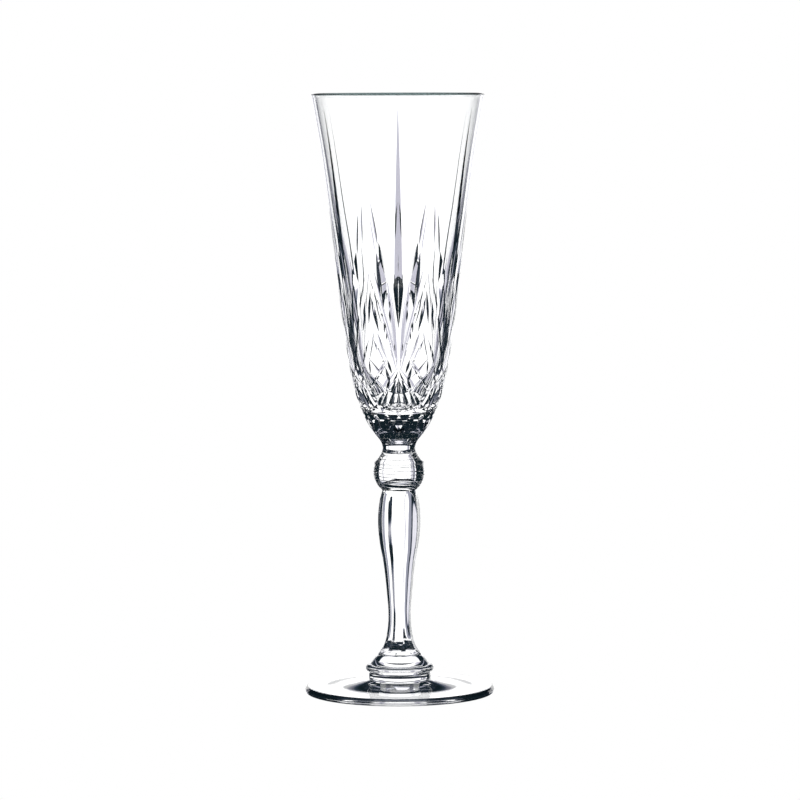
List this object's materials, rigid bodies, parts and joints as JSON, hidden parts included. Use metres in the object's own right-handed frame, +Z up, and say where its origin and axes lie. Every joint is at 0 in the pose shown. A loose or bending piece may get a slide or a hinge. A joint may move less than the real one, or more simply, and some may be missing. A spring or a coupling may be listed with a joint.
{
  "type": "champagne flute",
  "caption": "Tall cut-crystal champagne flute with a flared bowl, wheel-cut fans and spears, a finely grooved knop, a panelled stem and a round foot.",
  "frame": {"origin": "centre of the foot's underside, on the surface the flute stands on", "axes": "+Z up along the stem; -Y towards the viewer, through the middle of one cut motif; +X to the viewer's right"},
  "size_m": [0.0672, 0.0672, 0.212],
  "materials": {
    "crystal": "clear, polished"
  },
  "bodies": {
    "root": {"bowl": "crystal", "knop": "crystal", "stem": "crystal", "foot_collar": "crystal", "foot": "crystal"}
  },
  "joints": []
}
